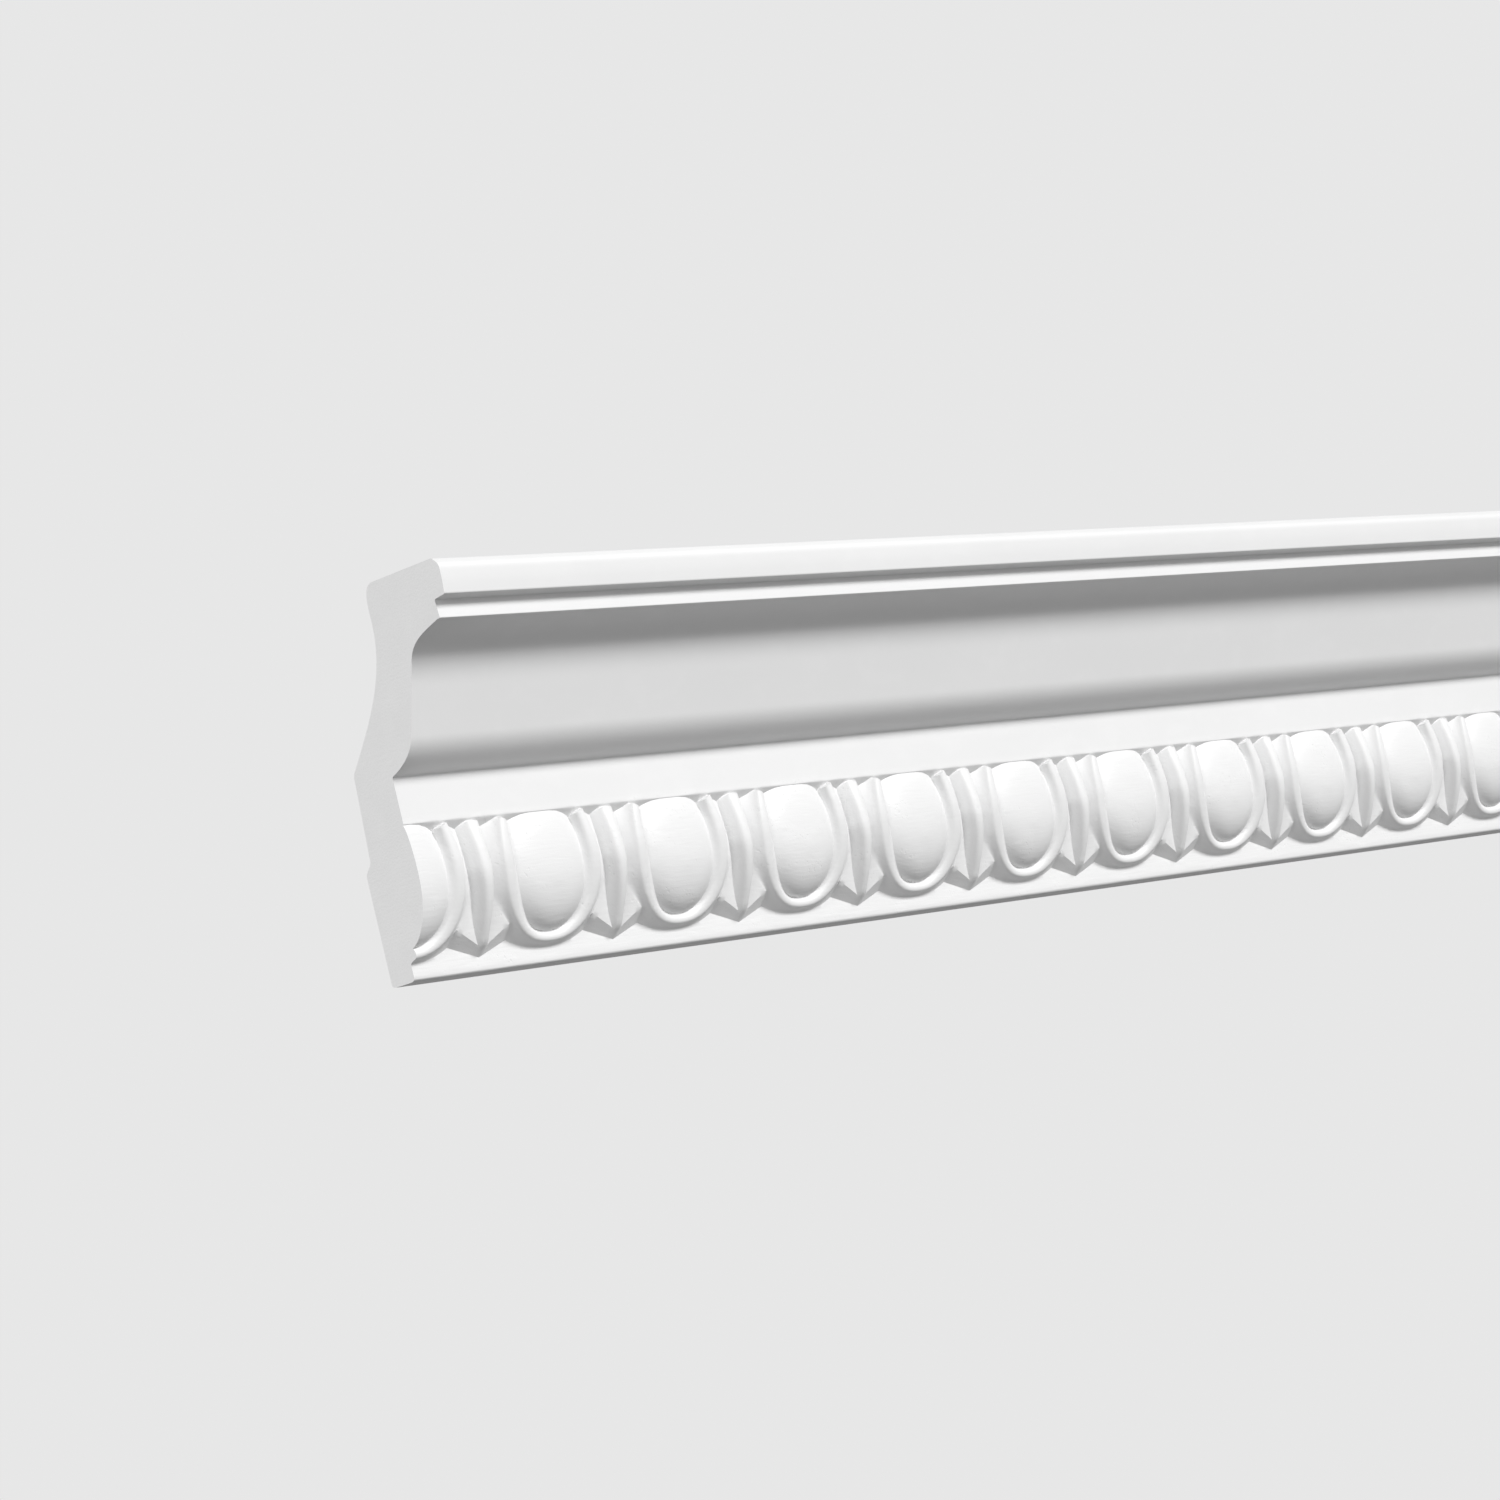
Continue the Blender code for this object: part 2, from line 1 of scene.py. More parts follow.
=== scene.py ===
"""Looks of the cornice moulding section: egg-and-dart band, plain mouldings, primer, cut foam.

Metres. X runs along the moulding, the room is towards -Y and the wall is at Y 0. Points of the
section and of the carving are (across, up, out): across from the middle of an egg, up from the
underside, out from the wall. Points of the profile are (out, up).
"""

from itertools import chain
from math import cos, hypot, pi, radians, sin

import bpy
from mathutils import Euler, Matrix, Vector


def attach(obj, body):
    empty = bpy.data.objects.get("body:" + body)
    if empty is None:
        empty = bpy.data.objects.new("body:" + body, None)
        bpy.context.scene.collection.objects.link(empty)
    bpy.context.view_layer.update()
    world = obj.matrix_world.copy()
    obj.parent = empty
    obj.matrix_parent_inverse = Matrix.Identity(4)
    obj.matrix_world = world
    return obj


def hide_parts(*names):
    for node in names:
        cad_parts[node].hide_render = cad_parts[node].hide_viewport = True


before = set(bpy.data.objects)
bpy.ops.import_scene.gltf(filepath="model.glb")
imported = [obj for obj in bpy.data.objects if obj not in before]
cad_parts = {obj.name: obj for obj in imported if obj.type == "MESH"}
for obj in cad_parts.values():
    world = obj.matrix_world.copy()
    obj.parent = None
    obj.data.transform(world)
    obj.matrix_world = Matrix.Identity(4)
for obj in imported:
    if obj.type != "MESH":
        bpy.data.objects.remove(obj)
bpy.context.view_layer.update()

# Run and repeat
PITCH = 0.0522
DART_COUNT = 11
SAW_WASTE = 0.0010
HALF_PITCH = PITCH / 2
RUN_LENGTH = DART_COUNT * PITCH - 2 * SAW_WASTE
BAND_REPEATS = DART_COUNT + 2

# Section of the plain mouldings; its upper edges are a little rounder than the solid's
HEIGHT = 0.1000
PROJECTION = 0.0486
TOP_CHAMFER = 0.0021
TOP_FASCIA_HEIGHT = 0.0076
TOP_FASCIA_LEAN = 0.00045
TOP_FASCIA_FOOT_ANGLE = radians(85)
TOP_FASCIA_BROW_DROP = 0.0024
TOP_FASCIA_BROW_SUNK = 0.00008
TOP_FASCIA_CORNER_REACH = 0.0009
GROOVE_RISE = 0.00045
GROOVE_DEPTH = 0.0033
FILLET_HEIGHT = 0.0049
FILLET_LEAN = 0.0004
FILLET_LIP = 0.0009
BAND_TOP = 0.0388
LOWER_FASCIA_HEIGHT = 0.0123
LOWER_FASCIA_OUT = 0.0166
LOW_FASCIA_OUT = 0.00815
LOW_FASCIA_START = 0.0010
UNDERSIDE_ROUND = 0.0013
CYMA_LOW_SHARES = (0.350, 0.244)
CYMA_HIGH_SHARES = (0.574, 0.785)
CYMA_START_ANGLE = radians(20)
COVE_END_ANGLE = radians(19)
CHAMFER_ANGLE = radians(135)
WALL_STRIP_START = 0.0010
WALL_STRIP_END = 0.0296
BACK_STEP_HEIGHT = 0.0025
BACK_STEP_DEPTH = 0.0024
BACK_KNEE_OUT = 0.0036
BACK_KNEE_RISE = 0.0038
BACK_KNEE_ANGLE = radians(50)
CEILING_STRIP_DEPTH = 0.0236
BACK_SHOULDER_DEPTH = 0.0268
BACK_SHOULDER_DROP = 0.0100
GAP_HEIGHT = 0.0021
GAP_DEPTH = 0.0023
RIDGE_TOP_RISE = 0.45
RIDGE_END_STEP = 0.0003

# Egg
EGG_HALF_WIDTH = 0.504 * HALF_PITCH
EGG_TOP_HALF_WIDTH = 0.483 * HALF_PITCH
EGG_WIDEST_UP = 0.644 * BAND_TOP
EGG_BOTTOM_UP = 0.211 * BAND_TOP
EGG_NOSE_UP = 0.698 * BAND_TOP
EGG_LOW_REACH = 0.523 * BAND_TOP
EGG_HIGH_REACH = 0.724 * BAND_TOP
EGG_LOW_POWER = 2.3
EGG_DEPTH = 0.0128
EGG_NOSE_PROUD = 0.0012
EGG_EDGE_SUNK = 0.0006
EGG_EDGE_FOOT_PROUD = 0.0016
EGG_OUTLINE_POWER = 2.4
EGG_CROWN_POWER = 3.5
EGG_CROWN_ROUNDNESS = 1.0
EGG_TOP_CROWN_POWER = 2.6
EGG_TOP_CROWN_ROUNDNESS = 0.9
EGG_EDGE_POWER = 2.2
EGG_TOP_PASSES = 6

# Cup
CUP_HALF_WIDTH = 0.712 * HALF_PITCH
CUP_TOP_HALF_WIDTH = 0.615 * HALF_PITCH
CUP_WIDEST_UP = 0.644 * BAND_TOP
CUP_BOTTOM_UP = 0.136 * BAND_TOP
CUP_FOOT_UP = 0.111 * BAND_TOP
CUP_FOOT_PROUD = 0.0025
CUP_NOSE_UP = 0.750 * BAND_TOP
CUP_NOSE_PROUD = 0.0014
CUP_FALL_POWER = 1.75
CUP_TOP_PROUD = 0.0009
CUP_OUTLINE_POWER = 2.3
CUP_FOOT_POWER = 2.2

# Dart
DART_NOSE_UP = 0.644 * BAND_TOP
DART_TIP_UP = 0.173 * BAND_TOP
DART_FOOT_UP = 0.1005 * BAND_TOP
DART_TOP_PROUD = 0.0005
DART_NOSE_PROUD = 0.0021
DART_TIP_PROUD = 0.0035
DART_FALL_POWER = 1.6
DART_CREST_HALF_WIDTH = 0.062 * HALF_PITCH
DART_TIP_CREST_HALF_WIDTH = 0.025 * HALF_PITCH
SPINE_HALF_WIDTH = 0.138 * HALF_PITCH
SPINE_TIP_HALF_WIDTH = 0.069 * HALF_PITCH
SPINE_TAPER_POWER = 3
SPINE_EASE = 0.25
BLADE_CORNER_UP = 0.2835 * BAND_TOP
BLADE_CORNER_PROUD = 0.0039
BLADE_TIP_PROUD = 0.0023
FORK_UP = 0.515 * BAND_TOP
FORK_SUNK = 0.0028
FOOT_PEAK_OFFSET = 0.421 * HALF_PITCH
FOOT_PEAK_UP = 0.191 * BAND_TOP

# Groove between cup and dart
GROOVE_TOP_SHARE = 0.50
GROOVE_NOSE_SHARE = 0.56
GROOVE_FORK_SHARE = 0.46
BLADE_CORNER_SHARE = 0.84
GROOVE_NOSE_SUNK = 0.0018
GROOVE_TURN_POWER = 1.5
GROOVE_DROP_POWER = 0.85

# Fullness of the plain curves
CYMA_PULL = 0.36
ROUND_PULL = 0.4

# Places that follow
WALL_STRIP_MIDDLE = (WALL_STRIP_START + WALL_STRIP_END) / 2
LOWER_FASCIA_TOP = BAND_TOP + LOWER_FASCIA_HEIGHT
TOP_FASCIA_END = HEIGHT - TOP_CHAMFER
TOP_FASCIA_START = TOP_FASCIA_END - TOP_FASCIA_HEIGHT
TOP_FASCIA_LOW_OUT = PROJECTION - TOP_FASCIA_LEAN
GROOVE_UP = TOP_FASCIA_START - GROOVE_RISE
FILLET_OUT = TOP_FASCIA_LOW_OUT - GROOVE_DEPTH
COVE_END = (FILLET_OUT - FILLET_LIP, GROOVE_UP - FILLET_HEIGHT)
GROOVE_TOP_UP = BAND_TOP - GAP_HEIGHT
GROOVE_TOP_OUT = LOWER_FASCIA_OUT - GAP_DEPTH
GAP_SLOPE = GAP_DEPTH / GAP_HEIGHT
EGG_NOSE_OUT = LOWER_FASCIA_OUT + EGG_NOSE_PROUD
EGG_EDGE_HIGH_OUT = LOWER_FASCIA_OUT - EGG_EDGE_SUNK
EGG_EDGE_LOW_OUT = LOW_FASCIA_OUT + EGG_EDGE_FOOT_PROUD
CUP_LOW_OUT = LOW_FASCIA_OUT + CUP_FOOT_PROUD
CUP_NOSE_OUT = LOWER_FASCIA_OUT + CUP_NOSE_PROUD
CUP_HIGH_OUT = LOWER_FASCIA_OUT + CUP_TOP_PROUD
DART_TOP_OUT = LOWER_FASCIA_OUT + DART_TOP_PROUD
DART_NOSE_OUT = LOWER_FASCIA_OUT + DART_NOSE_PROUD
DART_TIP_OUT = LOW_FASCIA_OUT + DART_TIP_PROUD
BLADE_CORNER_OUT = LOW_FASCIA_OUT + BLADE_CORNER_PROUD
BLADE_TIP_OUT = LOW_FASCIA_OUT + BLADE_TIP_PROUD
FORK_OUT = LOWER_FASCIA_OUT - FORK_SUNK
GROOVE_NOSE_OUT = LOWER_FASCIA_OUT - GROOVE_NOSE_SUNK

# Cage of the carving: divisions along the U of the cup, and where its lines meet the dart's
ARC_STEPS = 18
ARM_STEPS = 11
CUP_STEPS = ARC_STEPS + ARM_STEPS
PEAK_STEP = 8
CORNER_STEP = 10
FORK_STEP = 15
SLOPE_STEPS = CORNER_STEP - PEAK_STEP
BLADE_LENGTH_STEPS = FORK_STEP - CORNER_STEP
BLADE_WIDTH_STEPS = 5
GROOVE_STEPS = CUP_STEPS - FORK_STEP
EGG_SHARES = (0.3, 0.55, 0.75, 0.89, 0.97, 1.0)
NARROW_STRIP = 0.0031
WIDE_STRIP = 0.0054
SLOPE_ROWS = ((0.35, 0.25), (0.75, 0.72))
NARROW_RIM = (
    (0.0027, 0.00065),
    (0.0022, 0.00024),
    (0.0016, 0.0),
    (0.0009, 0.0),
    (0.00035, 0.00018),
    (0.0, 0.00060),
)
WIDE_RIM = (
    (0.0038, 0.00050),
    (0.0032, 0.00018),
    (0.0024, 0.0),
    (0.0013, 0.0),
    (0.0005, 0.00014),
    (0.0, 0.00050),
)
WALL_ROWS = ((0.12, -0.0004), (0.5, -0.0006), (0.86, -0.0002), (1.0, 0.0))
SPINE_ROWS = ((0.3, 0.0), (0.75, 0.0), (1.0, -0.00030))
FASCIA_EDGE_ROUND = 0.0005
FASCIA_MARGIN = 0.0014
PLAIN_RISE = 2 * FASCIA_MARGIN
UNDER_EDGE_SHARE = 0.8
EGG_TOP_GAP = 0.0002
MERGE = 0.00001
CUT_TOLERANCE = MERGE / 10

# Sharpness of the cage's creased lines
EGG_EDGE_CREASE = 0.5
WALL_FOOT_CREASE = 0.7
BLADE_SLOPE_CREASE = 0.9
BLADE_OUTER_CREASE = 0.8
BLADE_INNER_CREASE = 0.6
SPINE_FOOT_CREASE = 0.5
RIDGE_TOP_CREASE = 0.4
FOOT_CREASE = 0.8

# Rounding of the plain mouldings' edges
EDGE_ROUND = 0.0008
CREASE_ROUND = 0.0004
FINE_ROUND = 0.0004
LIP_ROUND = 0.00026
ROUND_STEPS = 4
CURVE_STEPS = 14
SUPPORT = 1.6
SHARP_ANGLE = radians(32)

# Primer: noises are (scale, detail, stretch), ramps are (low, high)
CARVED_TOP = BAND_TOP - WALL_STRIP_MIDDLE
CARVED_FADE = 0.002
PRIMER_DARK = (0.80, 0.80, 0.80)
PRIMER_LIGHT = (0.86, 0.86, 0.86)
PRIMER_CLOUDS = (38, 3, (0.4, 1, 1))
PRIMER_STREAKS = (1300, 2, (0.10, 1, 1))
PRIMER_GRAIN = (2400, 2)
PRIMER_LUMPS = (620, 3, (0.7, 1, 1))
PRIMER_PATCHES = (150, 2, (0.6, 1, 1))
PRIMER_PATCH_RAMP = (0.50, 0.70)
PRIMER_PITS = (1000, 1)
PRIMER_PIT_RAMP = (0.62, 0.74)
CLOUD_SHADE = 0.6
PATCH_SHADE = 0.15
STREAK_SHADE = 0.25
# Painted shade: how much darker the pits are coloured where they sink in
PAINTED_PIT_SHADE = 0.5
PRIMER_ROUGHNESS = 0.40
CLOUD_ROUGHNESS = 0.10
GRAIN_ROUGHNESS = 0.08
PRIMER_SPECULAR = 0.4
PRIMER_RELIEF = 0.00014
GRAIN_RELIEF = 0.12
STREAK_RELIEF = 0.38
LUMP_RELIEF = 0.5
PIT_RELIEF = 0.35

# Sawn foam
FOAM_DARK = (0.73, 0.73, 0.73)
FOAM_LIGHT = (0.79, 0.79, 0.79)
FOAM_CELL_SCALE = 1700
FOAM_CLOUDS = (160, 3)
FOAM_SAW_MARKS = (1300, 1, (1, 0.1, 1))
FOAM_CLOUD_SHADE = 0.7
FOAM_CELL_SHADE = 0.3
FOAM_ROUGHNESS = 0.80
FOAM_CELL_ROUGHNESS = 0.1
FOAM_SPECULAR = 0.2
FOAM_RELIEF = 0.00008
FOAM_CELL_RELIEF = 0.6
FOAM_MARK_RELIEF = 0.4

# Floor
FLOOR_UP = -1.3
FLOOR_RADIUS = 14
FLOOR_VERTICES = 96
FLOOR_DARK = (0.53, 0.53, 0.53)
FLOOR_LIGHT = (0.57, 0.57, 0.57)
FLOOR_CLOUDS = (1.5, 2)
FLOOR_ROUGHNESS = 0.75
FLOOR_CLOUD_ROUGHNESS = 0.1

# Lights: name, place, width in the sky in degrees and strength; then the studio's walls
SOFT_LIGHTS = (
    ("key_light", (0.7, -1.6, 1.1), 18, 3.1),
    ("fill_light", (-1.6, -0.9, 0.2), 28, 1.05),
    ("back_light", (-1.6, 1.4, 0.9), 28, 1.9),
)
WALL_LIGHT = 0.18
WALL_BRIGHTNESS = 0.80

# Camera: angles in degrees, lens and sensor in millimetres
CAMERA_PLACE = (-1.19917, -0.87623, -0.12758)
CAMERA_HEADING = 39.19
CAMERA_RISE = 6.78
CAMERA_ROLL = -13.65
CAMERA_LENS = 120
CAMERA_SENSOR = 36


def mix(start, end, share):
    """The value part way from one number to another."""
    return start + (end - start) * share


def blend(first, last, share):
    """The point part way from one point to another."""
    return tuple(mix(one, other, share) for one, other in zip(first, last))


def direction(angle):
    """A unit vector in the section: 0 points out into the room, a quarter turn points up."""
    return Vector((cos(angle), sin(angle)))


OUTWARD = direction(0)
UPWARD = direction(pi / 2)


# Forms of the carving


def u_half_width(up, half_width, top_half_width, widest, bottom, power):
    """Half the width of a U-shaped outline at one height."""
    if up >= widest:
        share = (up - widest) / (BAND_TOP - widest)
        return mix(half_width, top_half_width, share**2)
    share = min((widest - up) / (widest - bottom), 1)
    return half_width * (1 - share**power) ** (1 / power)


def cup_half(up):
    """Half the width of the cup's crest at one height."""
    return u_half_width(
        up, CUP_HALF_WIDTH, CUP_TOP_HALF_WIDTH, CUP_WIDEST_UP, CUP_BOTTOM_UP, CUP_OUTLINE_POWER
    )


def egg_half(up):
    """Half the width of the egg at one height."""
    return u_half_width(
        up, EGG_HALF_WIDTH, EGG_TOP_HALF_WIDTH, EGG_WIDEST_UP, EGG_BOTTOM_UP, EGG_OUTLINE_POWER
    )


def u_outline(half_width_at, widest, bottom, top, power):
    """(half width, height) along a U, from its lowest point up one arm."""
    heights = [widest - (widest - bottom) * cos(pi / 2 * step / ARC_STEPS) ** (2 / power)
               for step in range(ARC_STEPS + 1)]
    heights += [mix(widest, top, step / ARM_STEPS) for step in range(1, ARM_STEPS + 1)]
    return [(half_width_at(up), up) for up in heights]


def gap_out(up):
    """The sloping face under the lower fascia's edge."""
    return LOWER_FASCIA_OUT - (BAND_TOP - up) * GAP_SLOPE


def ridge_top_up(out):
    """Height at which a ridge of the band ends."""
    return GROOVE_TOP_UP + (out - GROOVE_TOP_OUT) * RIDGE_TOP_RISE


def egg_nose_line(up):
    """How far out the middle of the egg stands."""
    reach, power = (EGG_HIGH_REACH, 2) if up > EGG_NOSE_UP else (EGG_LOW_REACH, EGG_LOW_POWER)
    share = min(abs(up - EGG_NOSE_UP) / reach, 1)
    return EGG_NOSE_OUT - EGG_DEPTH * (1 - (1 - share**power) ** (1 / power))


def egg_edge_out(up):
    """How far out the edge of the egg stands."""
    if up > EGG_NOSE_UP:
        share = (up - EGG_NOSE_UP) / (GROOVE_TOP_UP - EGG_NOSE_UP)
        return mix(EGG_EDGE_HIGH_OUT, GROOVE_TOP_OUT, share**2)
    share = (EGG_NOSE_UP - up) / (EGG_NOSE_UP - EGG_BOTTOM_UP)
    return mix(EGG_EDGE_HIGH_OUT, EGG_EDGE_LOW_OUT, share**EGG_EDGE_POWER)


def egg_out(across_share, up):
    """How far out the egg stands, part way from its middle (0) to its edge (1)."""
    edge = egg_edge_out(up)
    height = min(max((up - EGG_NOSE_UP) / (BAND_TOP - EGG_NOSE_UP), 0), 1)
    power = mix(EGG_CROWN_POWER, EGG_TOP_CROWN_POWER, height)
    roundness = mix(EGG_CROWN_ROUNDNESS, EGG_TOP_CROWN_ROUNDNESS, height)
    crown = (1 - min(across_share, 1) ** power) ** roundness
    return mix(edge, max(egg_nose_line(up), edge), crown)


def egg_top(across_share):
    """Height at which the egg runs into the sloping face under the lower fascia."""
    up = BAND_TOP
    for _ in range(EGG_TOP_PASSES):
        up = BAND_TOP - max(LOWER_FASCIA_OUT - egg_out(across_share, up), 0) / GAP_SLOPE
    return up


def cup_out(up):
    """How far out the crest of the cup stands."""
    if up >= CUP_NOSE_UP:
        share = (up - CUP_NOSE_UP) / (ridge_top_up(CUP_HIGH_OUT) - CUP_NOSE_UP)
        return mix(CUP_NOSE_OUT, CUP_HIGH_OUT, share**2)
    share = (CUP_NOSE_UP - up) / (CUP_NOSE_UP - CUP_BOTTOM_UP)
    return mix(CUP_NOSE_OUT, CUP_LOW_OUT, share**CUP_FALL_POWER)


def dart_out(up):
    """How far out the dart's spine stands."""
    if up >= DART_NOSE_UP:
        share = (up - DART_NOSE_UP) / (ridge_top_up(DART_TOP_OUT) - DART_NOSE_UP)
        return mix(DART_NOSE_OUT, DART_TOP_OUT, share**2)
    share = (DART_NOSE_UP - up) / (DART_NOSE_UP - DART_TIP_UP)
    return mix(DART_NOSE_OUT, DART_TIP_OUT, share**DART_FALL_POWER)


def groove_place(up):
    """Place of the groove between cup and dart at one height."""
    room = HALF_PITCH - cup_half(up)
    if up >= DART_NOSE_UP:
        climb = (up - DART_NOSE_UP) / (GROOVE_TOP_UP - DART_NOSE_UP)
        share = mix(GROOVE_NOSE_SHARE, GROOVE_TOP_SHARE, climb**GROOVE_TURN_POWER)
        out = mix(GROOVE_NOSE_OUT, GROOVE_TOP_OUT, climb**2)
    elif up >= FORK_UP:
        climb = (up - FORK_UP) / (DART_NOSE_UP - FORK_UP)
        share = mix(GROOVE_FORK_SHARE, GROOVE_NOSE_SHARE, climb)
        out = mix(FORK_OUT, GROOVE_NOSE_OUT, climb)
    else:
        drop = (FORK_UP - up) / (FORK_UP - BLADE_CORNER_UP)
        share = mix(GROOVE_FORK_SHARE, BLADE_CORNER_SHARE, drop**GROOVE_DROP_POWER)
        out = mix(FORK_OUT, BLADE_CORNER_OUT, drop)
    return (HALF_PITCH - room * share, up, out)


# Lines of the cage, each with its number of points


def evenly(first, last, steps):
    """Points at even distances from one point to another, both of them included."""
    return [blend(first, last, step / steps) for step in range(steps + 1)]


def rows_across(first, last, steps):
    """Rows at even distances from one line to another, both of them included."""
    return [[blend(near, far, step / steps) for near, far in zip(first, last)]
            for step in range(steps + 1)]


def egg_rings():
    """The egg's middle line and rings, each with one point for every step of the cup."""
    rings = []
    for ring_share in EGG_SHARES:
        ring = []
        top = min(egg_top(ring_share), BAND_TOP - EGG_TOP_GAP)
        for half, up in u_outline(egg_half, EGG_WIDEST_UP, EGG_BOTTOM_UP, top, EGG_OUTLINE_POWER):
            if up <= EGG_WIDEST_UP:
                up = mix(EGG_WIDEST_UP, up, ring_share)
            across = half * ring_share
            ring.append((across, up, egg_out(across / max(egg_half(up), MERGE), up)))
        ring[-1] = (egg_half(top) * ring_share, top, gap_out(top))
        rings.append(ring)
    middle = [(0, up, egg_out(0, up)) for _, up, _ in rings[0]]
    middle[-1] = (0,) + rings[0][-1][1:]
    return [middle] + rings


def cup_crest():
    """The outer edge of the cup's rim."""
    outline = u_outline(
        cup_half, CUP_WIDEST_UP, CUP_BOTTOM_UP, ridge_top_up(CUP_HIGH_OUT), CUP_OUTLINE_POWER
    )
    return [(half, up, cup_out(up)) for half, up in outline]


def cup_rows(edge, crest):
    """The cup from the egg's edge outwards: a short slope and a wide rim rounded like a bead."""
    rows = [[] for _ in SLOPE_ROWS + WIDE_RIM]
    for near, far in zip(edge, crest):
        width = hypot(far[0] - near[0], far[1] - near[1])
        fullness = min(max((width - NARROW_STRIP) / (WIDE_STRIP - NARROW_STRIP), 0), 1)
        rim = [blend(narrow, wide, fullness) for narrow, wide in zip(NARROW_RIM, WIDE_RIM)]
        slope = width - rim[0][0]
        rim_out = far[2] - rim[0][1]
        places = [(slope * reach, mix(near[2], rim_out, climb)) for reach, climb in SLOPE_ROWS]
        places += [(width - back, far[2] - drop) for back, drop in rim]
        for row, (reach, out) in zip(rows, places):
            row.append((*blend(near, far, reach / width)[:2], out))
    return rows


def between(first, second, rows):
    """Rows between two lines: each is (share of the way, how far it stands out of the straight)."""
    made = []
    for share, proud in rows:
        row = []
        for near, far in zip(first, second):
            across, up, out = blend(near, far, share)
            row.append((across, up, out + proud))
        made.append(row)
    return made


def wall_foot():
    """The line at the foot of the cup's outer wall: cup foot, peak, blade corner, fork, groove."""
    peak = (HALF_PITCH - FOOT_PEAK_OFFSET, FOOT_PEAK_UP, LOW_FASCIA_OUT)
    line = []
    for step in range(PEAK_STEP):
        share = step / PEAK_STEP
        up = mix(CUP_FOOT_UP, FOOT_PEAK_UP, share**CUP_FOOT_POWER)
        line.append((peak[0] * share, up, LOW_FASCIA_OUT))
    line += evenly(peak, groove_place(BLADE_CORNER_UP), SLOPE_STEPS)[:-1]
    for step in range(BLADE_LENGTH_STEPS):
        line.append(groove_place(mix(BLADE_CORNER_UP, FORK_UP, step / BLADE_LENGTH_STEPS)))
    for step in range(GROOVE_STEPS + 1):
        line.append(groove_place(mix(FORK_UP, GROOVE_TOP_UP, step / GROOVE_STEPS)))
    return line


def spine_base(foot):
    """Foot of the dart's spine: from its tip to the fork, then the groove to the top."""
    fork = foot[FORK_STEP]
    line = []
    for step in range(BLADE_LENGTH_STEPS):
        share = 1 - step / BLADE_LENGTH_STEPS
        half = mix(SPINE_HALF_WIDTH, SPINE_TIP_HALF_WIDTH, share**SPINE_TAPER_POWER)
        half += (HALF_PITCH - fork[0] - SPINE_HALF_WIDTH) * max(0, 1 - share / SPINE_EASE)
        up = mix(FORK_UP, DART_TIP_UP, share)
        line.append((HALF_PITCH - half, up, mix(FORK_OUT, BLADE_TIP_OUT, share)))
    return line + foot[FORK_STEP:]


def spine_crest(base):
    """The dart's crest beside its middle, with one point for every point of its base."""
    top = ridge_top_up(DART_TOP_OUT)
    stretch = (top - DART_TIP_UP) / (base[-1][1] - base[0][1])
    line = []
    for _, up, _ in base:
        up = DART_TIP_UP + (up - base[0][1]) * stretch
        share = min((up - DART_TIP_UP) / (DART_NOSE_UP - DART_TIP_UP), 1)
        half = mix(DART_TIP_CREST_HALF_WIDTH, DART_CREST_HALF_WIDTH, share)
        line.append((HALF_PITCH - half, up, dart_out(up)))
    return line


def foot_point(offset):
    """A point of the dart's straight foot on the bottom fascia, by its offset from the middle."""
    up = mix(DART_FOOT_UP, FOOT_PEAK_UP, offset / FOOT_PEAK_OFFSET)
    return (HALF_PITCH - offset, up, LOW_FASCIA_OUT)


def ridge_foot(end):
    """Where the top of a ridge, cut level, runs into the sloping face behind it."""
    across, up, out = end
    foot_up = up + RIDGE_END_STEP
    if gap_out(foot_up) >= out:
        return end
    return (across, foot_up, gap_out(foot_up))


# Modelling


def only(piece):
    """Selects one piece, makes it active and deselects the rest."""
    bpy.ops.object.select_all(action="DESELECT")
    piece.select_set(True)
    bpy.context.view_layer.objects.active = piece


def edit_all(piece):
    """Opens the piece in edit mode with all of it selected."""
    only(piece)
    bpy.ops.object.mode_set(mode="EDIT")
    bpy.ops.mesh.select_all(action="SELECT")


def edit_edges(piece, chosen):
    """Opens the piece in edit mode with only the chosen edges selected, given by their indices."""
    bpy.ops.object.mode_set(mode="EDIT")
    bpy.ops.mesh.select_mode(type="EDGE")
    bpy.ops.mesh.select_all(action="DESELECT")
    bpy.ops.object.mode_set(mode="OBJECT")
    for index in chosen:
        piece.data.edges[index].select = True
    bpy.ops.object.mode_set(mode="EDIT")


def patch(rows, creases=()):
    """A grid moved onto rows of points; creases lists (row, sharpness)."""
    columns = len(rows[0])
    bpy.ops.object.select_all(action="DESELECT")
    bpy.ops.mesh.primitive_grid_add(x_subdivisions=columns - 1, y_subdivisions=len(rows) - 1)
    piece = bpy.context.object
    for vertex, (across, up, out) in zip(piece.data.vertices, chain(*rows)):
        vertex.co = (across - HALF_PITCH, -out, up - WALL_STRIP_MIDDLE)
    piece.data.update()
    for row, sharpness in creases:
        line = row % len(rows)
        edit_edges(piece, [edge.index for edge in piece.data.edges
                           if all(vertex // columns == line for vertex in edge.vertices)])
        bpy.ops.transform.edge_crease(value=sharpness)
        bpy.ops.object.mode_set(mode="OBJECT")
    return piece


def joined(pieces, name):
    """The pieces as one object, which keeps the first one's place."""
    only(pieces[0])
    for piece in pieces:
        piece.select_set(True)
    bpy.ops.object.join()
    piece = bpy.context.object
    piece.name = name
    return piece


def apply_modifier(piece, kind, **settings):
    """Adds one modifier with its settings and applies it."""
    only(piece)
    bpy.ops.object.modifier_add(type=kind)
    modifier = piece.modifiers[-1]
    for setting, value in settings.items():
        setattr(modifier, setting, value)
    bpy.ops.object.modifier_apply(modifier=modifier.name)


